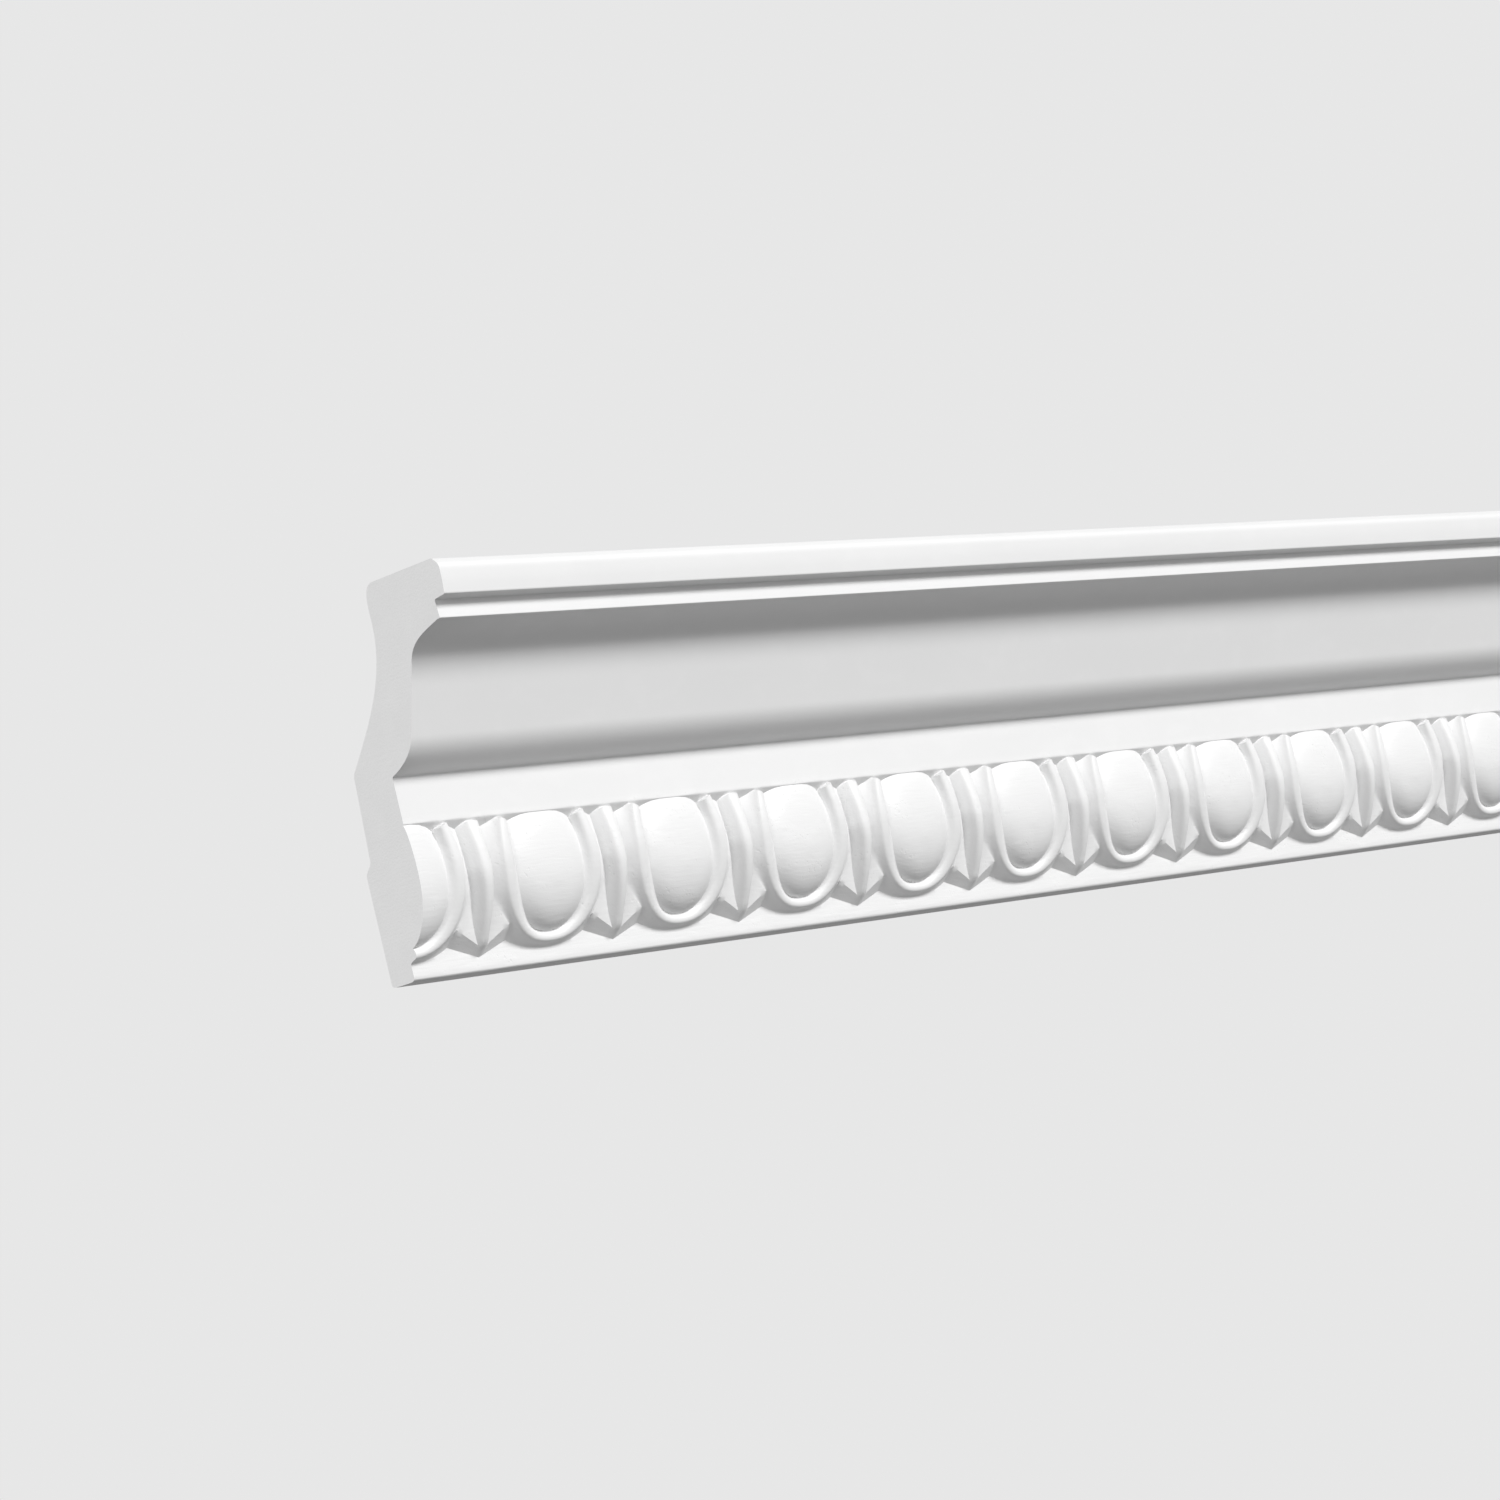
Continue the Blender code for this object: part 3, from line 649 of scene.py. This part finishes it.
def half_repeat():
    """Half of one repeat as a cage, from the middle of an egg to the middle of a dart."""
    rings = egg_rings()
    hollow = cup_rows(rings[-1], cup_crest())
    crest = hollow[-1]
    foot = wall_foot()
    wall = between(crest, foot, WALL_ROWS)
    base = spine_base(foot)
    ridge = spine_crest(base)
    spine = between(base, ridge, SPINE_ROWS)
    middle = [(HALF_PITCH, up, out) for _, up, out in ridge]

    blade_rows = [evenly(outer, inner, BLADE_WIDTH_STEPS)
                  for outer, inner in zip(foot[CORNER_STEP:FORK_STEP + 1], base)]
    blade_columns = [list(column) for column in zip(*blade_rows)]
    blade_foot = evenly(foot[PEAK_STEP], foot_point(SPINE_TIP_HALF_WIDTH), BLADE_WIDTH_STEPS)
    slope_rows = rows_across(blade_foot, blade_rows[0], SLOPE_STEPS)
    tip = [base[0]] + [row[0] for row in spine] + [middle[0]]
    tip_foot = [foot_point(HALF_PITCH - across) for across, _, _ in tip]
    nose_rows = rows_across(tip_foot, tip, SLOPE_STEPS)

    ends = [row[-1] for row in rings + hollow + wall + spine + [middle]]
    feet = [ridge_foot(end) for end in ends]
    edge = [(across, BAND_TOP, LOWER_FASCIA_OUT) for across, _, _ in ends]
    under = [blend(near, far, UNDER_EDGE_SHARE) for near, far in zip(feet, edge)]
    margins = [[(across, BAND_TOP + rise, LOWER_FASCIA_OUT) for across, _, _ in ends]
               for rise in (FASCIA_EDGE_ROUND, FASCIA_MARGIN)]

    toe = foot[:PEAK_STEP] + blade_foot[:-1] + tip_foot
    toe_middle = [(across, mix(LOW_FASCIA_START, up, 0.5), out) for across, up, out in toe]
    toe_low = [(across, LOW_FASCIA_START, out) for across, _, out in toe]

    # The blade comes twice, as rows and as columns, so that both ways can have creases. Its two
    # patches fall on each other and are merged later.
    pieces = [
        patch(rings + hollow, [(len(rings) - 1, EGG_EDGE_CREASE)]),
        patch([crest] + wall, [(-1, WALL_FOOT_CREASE)]),
        patch(blade_rows, [(0, BLADE_SLOPE_CREASE)]),
        patch(blade_columns, [(0, BLADE_OUTER_CREASE), (-1, BLADE_INNER_CREASE)]),
        patch(slope_rows, [(0, BLADE_SLOPE_CREASE), (-1, BLADE_SLOPE_CREASE)]),
        patch(nose_rows, [(0, FOOT_CREASE)]),
        patch([base] + spine, [(0, SPINE_FOOT_CREASE)]),
        patch([spine[-1], middle]),
        patch([ends, feet, under, edge] + margins, [(0, RIDGE_TOP_CREASE), (1, FOOT_CREASE)]),
        patch([toe, toe_middle, toe_low], [(0, FOOT_CREASE)]),
    ]
    return joined(pieces, "egg_and_dart")


def carved_band():
    """Every repeat of the carving and one more at each end, before the ends are cut."""
    band = half_repeat()
    edit_all(band)
    bpy.ops.mesh.remove_doubles(threshold=MERGE)
    bpy.ops.object.mode_set(mode="OBJECT")
    apply_modifier(band, "MIRROR", merge_threshold=MERGE)
    apply_modifier(
        band,
        "ARRAY",
        count=BAND_REPEATS,
        use_relative_offset=False,
        use_constant_offset=True,
        constant_offset_displace=(PITCH, 0, 0),
        use_merge_vertices=True,
        merge_threshold=MERGE,
    )
    bpy.ops.transform.translate(value=(-(BAND_REPEATS - 1) / 2 * PITCH, 0, 0))
    bpy.ops.object.transform_apply(location=True, rotation=True, scale=True)
    apply_modifier(band, "SUBSURF", levels=1, render_levels=1, boundary_smooth="PRESERVE_CORNERS")
    return band


def curve(start, start_direction, end, end_direction, pull=CYMA_PULL, steps=CURVE_STEPS):
    """Corners along a cubic curve from one profile point to another; none of them is rounded."""
    start = Vector(start)
    end = Vector(end)
    reach = (end - start).length * pull
    near = start + start_direction * reach
    far = end - end_direction * reach
    corners = []
    for step in range(steps + 1):
        t = step / steps
        rest = 1 - t
        spot = start * rest**3 + near * 3 * t * rest**2 + far * 3 * t**2 * rest + end * t**3
        corners.append((spot.x, spot.y, 0))
    return corners


def rounded(corners):
    """Profile points: each corner (out, up, radius) with a radius is a short curve and supports."""
    points = []
    for index, (out, up, radius) in enumerate(corners):
        corner = Vector((out, up))
        if not radius:
            points.append(corner)
            continue
        before = (Vector(corners[index - 1][:2]) - corner).normalized()
        after = (Vector(corners[index + 1][:2]) - corner).normalized()
        points.append(corner + before * radius * SUPPORT)
        for step in range(ROUND_STEPS + 1):
            t = step / ROUND_STEPS
            points.append(corner + before * radius * (1 - t) ** 2 + after * radius * t**2)
        points.append(corner + after * radius * SUPPORT)
    return points


def plain_profile():
    """The section from just above the carving, over the top and round the back to its foot."""
    start = Vector((LOWER_FASCIA_OUT, LOWER_FASCIA_TOP))
    reach = Vector(COVE_END) - start
    low = start + Vector(CYMA_LOW_SHARES) * reach
    high = start + Vector(CYMA_HIGH_SHARES) * reach
    slope = (high - low).normalized()
    foot = (TOP_FASCIA_LOW_OUT, TOP_FASCIA_START)
    brow = (PROJECTION - TOP_FASCIA_BROW_SUNK, TOP_FASCIA_END - TOP_FASCIA_BROW_DROP)
    chamfer = (PROJECTION - TOP_FASCIA_CORNER_REACH, TOP_FASCIA_END + TOP_FASCIA_CORNER_REACH)
    corners = [
        (LOWER_FASCIA_OUT, BAND_TOP + PLAIN_RISE, 0),
        (start.x, start.y, CREASE_ROUND),
    ]
    corners += curve(start, direction(CYMA_START_ANGLE), low, slope)[2:]
    corners += curve(high, slope, COVE_END, direction(COVE_END_ANGLE))[:-1]
    corners += [
        (*COVE_END, LIP_ROUND),
        (FILLET_OUT, COVE_END[1], LIP_ROUND),
        (FILLET_OUT - FILLET_LEAN, GROOVE_UP, CREASE_ROUND),
        (*foot, FINE_ROUND),
    ]
    corners += curve(
        foot, direction(TOP_FASCIA_FOOT_ANGLE), brow, UPWARD, ROUND_PULL, ROUND_STEPS
    )[1:]
    corners += curve(
        brow, UPWARD, chamfer, direction(CHAMFER_ANGLE), ROUND_PULL, CURVE_STEPS
    )[1:]
    corners.append((PROJECTION - TOP_CHAMFER, HEIGHT, FINE_ROUND))
    shoulder = (PROJECTION - BACK_SHOULDER_DEPTH, HEIGHT - BACK_SHOULDER_DROP)
    strip_edge = (PROJECTION - CEILING_STRIP_DEPTH, HEIGHT)
    knee = (BACK_KNEE_OUT, LOWER_FASCIA_TOP + BACK_KNEE_RISE)
    corners += curve(strip_edge, -OUTWARD, shoulder, -UPWARD)
    corners += curve(shoulder, -UPWARD, knee, -direction(BACK_KNEE_ANGLE))[1:-1]
    corners += [
        (*knee, EDGE_ROUND),
        (BACK_STEP_DEPTH, WALL_STRIP_END + BACK_STEP_HEIGHT, EDGE_ROUND),
        (0, WALL_STRIP_END, EDGE_ROUND),
    ]
    strip_foot = (0, WALL_STRIP_START)
    back_underside = (UNDERSIDE_ROUND, 0)
    corners += curve(strip_foot, -UPWARD, back_underside, OUTWARD, ROUND_PULL, ROUND_STEPS)
    front = (LOW_FASCIA_OUT - UNDERSIDE_ROUND, 0)
    fascia = (LOW_FASCIA_OUT, LOW_FASCIA_START)
    corners += curve(front, OUTWARD, fascia, UPWARD, ROUND_PULL, ROUND_STEPS)
    return rounded(corners)[:-1]


def weld(piece):
    """Merges what meets and turns the faces outwards."""
    edit_all(piece)
    bpy.ops.mesh.remove_doubles(threshold=MERGE)
    bpy.ops.mesh.normals_make_consistent(inside=False)
    bpy.ops.object.mode_set(mode="OBJECT")


def bridge_rows(piece, places):
    """Bridges two straight open edges of the piece, each given as (out, up)."""
    lines = [Vector((-out, up - WALL_STRIP_MIDDLE)) for out, up in places]
    chosen = []
    for edge in piece.data.edges:
        corners = [piece.data.vertices[index].co.yz for index in edge.vertices]
        if any(all((corner - line).length < MERGE for corner in corners) for line in lines):
            chosen.append(edge.index)
    edit_edges(piece, chosen)
    bpy.ops.mesh.bridge_edge_loops()
    bpy.ops.object.mode_set(mode="OBJECT")


def cut_end(piece, side):
    """Saws one end off square and closes it; side is -1 or 1."""
    edit_all(piece)
    bpy.ops.mesh.bisect(
        plane_co=(side * RUN_LENGTH / 2, 0, 0),
        plane_no=(side, 0, 0),
        use_fill=True,
        clear_outer=True,
        threshold=CUT_TOLERANCE,
    )
    bpy.ops.object.mode_set(mode="OBJECT")


def moulding():
    """The whole moulding: band and plain mouldings in one shell, its two ends cut square."""
    band = carved_band()
    profile = plain_profile()
    half_run = BAND_REPEATS * PITCH / 2
    run = (HALF_PITCH - half_run, HALF_PITCH + half_run)
    plain = patch([[(across, up, out) for across in run] for out, up in profile])
    piece = joined([band, plain], "egg_and_dart_cornice")
    weld(piece)
    bridge_rows(piece, [(LOWER_FASCIA_OUT, BAND_TOP + FASCIA_MARGIN), profile[0]])
    bridge_rows(piece, [(LOW_FASCIA_OUT, LOW_FASCIA_START), profile[-1]])
    for side in (-1, 1):
        cut_end(piece, side)
    weld(piece)
    bpy.ops.object.shade_smooth_by_angle(angle=SHARP_ANGLE)
    return piece


# Finishes


class Value:
    """A node's output that Python expressions can reckon with: each step adds its Math node."""

    def __init__(self, finish, socket):
        self.finish = finish
        self.socket = socket

    def reckon(self, operation, first, second):
        return self.finish.add("ShaderNodeMath", {"operation": operation}, {0: first, 1: second})

    def __add__(self, other):
        return self.reckon("ADD", self, other)

    def __radd__(self, other):
        return self.reckon("ADD", other, self)

    def __sub__(self, other):
        return self.reckon("SUBTRACT", self, other)

    def __rsub__(self, other):
        return self.reckon("SUBTRACT", other, self)

    def __mul__(self, other):
        return self.reckon("MULTIPLY", self, other)

    def __rmul__(self, other):
        return self.reckon("MULTIPLY", other, self)


class Finish:
    """One material: its nodes, and the patterns that they share."""

    def __init__(self, name):
        self.material = bpy.data.materials.new(name)
        self.material.use_nodes = True
        self.tree = self.material.node_tree
        self.shader = self.tree.nodes["Principled BSDF"]
        self.place = self.add("ShaderNodeTexCoord", {}, {}, output="Object")

    def add(self, kind, settings, sockets, output=0):
        """A node of one kind: its settings are set first, then its sockets are fed."""
        node = self.tree.nodes.new(kind)
        for setting, value in settings.items():
            setattr(node, setting, value)
        self.feed(node, sockets)
        return Value(self, node.outputs[output])

    def feed(self, node, sockets):
        """Links a socket of the node to a Value, or sets it to a constant."""
        for socket, value in sockets.items():
            if isinstance(value, Value):
                self.tree.links.new(value.socket, node.inputs[socket])
            else:
                node.inputs[socket].default_value = value

    def noise(self, scale, detail, stretch=None):
        """Noise on the piece's own coordinates, longer along an axis whose stretch is below 1."""
        place = self.place
        if stretch:
            place = self.add("ShaderNodeMapping", {}, {"Vector": place, "Scale": stretch})
        sockets = {"Vector": place, "Scale": scale, "Detail": detail}
        return self.add("ShaderNodeTexNoise", {}, sockets)

    def ramp(self, value, low, high):
        """0 below low, 1 above high and smooth between them."""
        return self.add(
            "ShaderNodeMapRange",
            {"interpolation_type": "SMOOTHSTEP"},
            {"Value": value, "From Min": low, "From Max": high},
        )

    def tint(self, share, dark, light):
        """A colour between two greys; sockets 6 and 7 and output 2 are the node's colours."""
        return self.add(
            "ShaderNodeMix",
            {"data_type": "RGBA"},
            {"Factor": share, 6: (*dark, 1), 7: (*light, 1)},
            output=2,
        )

    def bump(self, height, depth):
        """Normals of a relief, height from 0 to 1 and depth in metres."""
        sockets = {"Height": height, "Distance": depth, "Strength": 1.0}
        return self.add("ShaderNodeBump", {}, sockets)

    def dress(self, sockets):
        """Feeds the shader and returns the finished material."""
        self.feed(self.shader, sockets)
        return self.material


def primer():
    """Satin white primer on moulded foam: faint clouds; on the carving streaks, lumps and pits, the
    pits darkened with painted shade.
    """
    finish = Finish("satin_white_primer")
    height = finish.add("ShaderNodeSeparateXYZ", {}, {0: finish.place}, output="Z")
    carved = 1 - finish.ramp(height, CARVED_TOP, CARVED_TOP + CARVED_FADE)
    clouds = finish.noise(*PRIMER_CLOUDS)
    streaks = finish.noise(*PRIMER_STREAKS)
    grain = finish.noise(*PRIMER_GRAIN)
    lumps = finish.noise(*PRIMER_LUMPS)
    patches = finish.ramp(finish.noise(*PRIMER_PATCHES), *PRIMER_PATCH_RAMP)
    pits = finish.ramp(finish.noise(*PRIMER_PITS), *PRIMER_PIT_RAMP) * patches
    # Clouds, patches and streaks vary the tone at random; the pits are darkened as painted shade
    shade = (
        clouds * CLOUD_SHADE
        + patches * PATCH_SHADE
        + streaks * carved * STREAK_SHADE
        - pits * carved * PAINTED_PIT_SHADE
    )
    relief = grain * GRAIN_RELIEF + carved_relief(streaks, lumps * patches, pits) * carved
    return finish.dress({
        "Base Color": finish.tint(shade, PRIMER_DARK, PRIMER_LIGHT),
        "Roughness": PRIMER_ROUGHNESS + clouds * CLOUD_ROUGHNESS + grain * GRAIN_ROUGHNESS,
        "Specular IOR Level": PRIMER_SPECULAR,
        "Normal": finish.bump(relief, PRIMER_RELIEF),
    })


def carved_relief(streaks, lumps, pits):
    """What stands up and sinks in on the carving only."""
    return streaks * STREAK_RELIEF + lumps * LUMP_RELIEF - pits * PIT_RELIEF


def sawn_foam():
    """The sawn ends: fine even cells, with faint saw marks."""
    finish = Finish("sawn_foam")
    sockets = {"Vector": finish.place, "Scale": FOAM_CELL_SCALE}
    cells = finish.add("ShaderNodeTexVoronoi", {}, sockets)
    clouds = finish.noise(*FOAM_CLOUDS)
    marks = finish.noise(*FOAM_SAW_MARKS)
    shade = clouds * FOAM_CLOUD_SHADE + cells * FOAM_CELL_SHADE
    relief = cells * FOAM_CELL_RELIEF + marks * FOAM_MARK_RELIEF
    return finish.dress({
        "Base Color": finish.tint(shade, FOAM_DARK, FOAM_LIGHT),
        "Roughness": FOAM_ROUGHNESS + cells * FOAM_CELL_ROUGHNESS,
        "Specular IOR Level": FOAM_SPECULAR,
        "Normal": finish.bump(relief, FOAM_RELIEF),
    })


def floor_paint():
    """Plain pale floor, a little uneven."""
    finish = Finish("pale_floor")
    clouds = finish.noise(*FLOOR_CLOUDS)
    return finish.dress({
        "Base Color": finish.tint(clouds, FLOOR_DARK, FLOOR_LIGHT),
        "Roughness": FLOOR_ROUGHNESS + clouds * FLOOR_CLOUD_ROUGHNESS,
    })


def paint(piece):
    """Primer all over and sawn foam on the two ends."""
    piece.data.materials.clear()
    piece.data.materials.append(primer())
    piece.data.materials.append(sawn_foam())
    for face in piece.data.polygons:
        at_end = abs(abs(face.center.x) - RUN_LENGTH / 2) < MERGE
        face.material_index = 1 if at_end else 0


# Floor, lights and camera


def add_floor():
    """A wide round floor far below, which the piece gets no light from."""
    bpy.ops.object.select_all(action="DESELECT")
    bpy.ops.mesh.primitive_circle_add(
        vertices=FLOOR_VERTICES,
        radius=FLOOR_RADIUS,
        fill_type="NGON",
        location=(0, 0, FLOOR_UP),
    )
    floor = bpy.context.object
    floor.name = "floor"
    floor.data.materials.append(floor_paint())
    floor.visible_diffuse = False


def add_soft_light(name, place, spread, strength):
    """A distant lamp as wide in the sky as a large soft box, so the whole run is lit evenly."""
    bpy.ops.object.light_add(type="SUN", location=place)
    lamp = bpy.context.object
    lamp.name = name
    lamp.data.angle = radians(spread)
    lamp.data.energy = strength
    lamp.rotation_euler = (-Vector(place)).to_track_quat("-Z", "Y").to_euler()


def add_studio():
    """The walls of the studio: seen they are pale, but little of the light comes from them."""
    world = bpy.data.worlds.new("studio")
    world.use_nodes = True
    tree = world.node_tree
    light = tree.nodes["Background"]
    light.inputs["Color"].default_value = (1, 1, 1, 1)
    light.inputs["Strength"].default_value = WALL_LIGHT
    seen = tree.nodes.new("ShaderNodeBackground")
    seen.inputs["Color"].default_value = (1, 1, 1, 1)
    seen.inputs["Strength"].default_value = WALL_BRIGHTNESS
    rays = tree.nodes.new("ShaderNodeLightPath")
    blend_rays = tree.nodes.new("ShaderNodeMixShader")
    tree.links.new(rays.outputs["Is Camera Ray"], blend_rays.inputs[0])
    tree.links.new(light.outputs[0], blend_rays.inputs[1])
    tree.links.new(seen.outputs[0], blend_rays.inputs[2])
    tree.links.new(blend_rays.outputs[0], tree.nodes["World Output"].inputs["Surface"])
    bpy.context.scene.world = world


def add_lights():
    """The soft lights and the studio's walls."""
    for name, place, spread, strength in SOFT_LIGHTS:
        add_soft_light(name, place, spread, strength)
    add_studio()


def add_camera():
    """A long lens turned to its heading and rise, then rolled about its own axis."""
    turn = Euler((radians(90 + CAMERA_RISE), 0, radians(CAMERA_HEADING - 90))).to_quaternion()
    roll = Euler((0, 0, radians(CAMERA_ROLL))).to_quaternion()
    bpy.ops.object.camera_add(location=CAMERA_PLACE)
    camera = bpy.context.object
    camera.data.lens = CAMERA_LENS
    camera.data.sensor_width = CAMERA_SENSOR
    camera.rotation_mode = "QUATERNION"
    camera.rotation_quaternion = turn @ roll
    bpy.context.scene.camera = camera


cornice = moulding()
paint(cornice)
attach(cornice, "root")
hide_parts("cornice_moulding")

add_floor()
add_lights()
add_camera()
bpy.context.scene.view_settings.view_transform = "Standard"
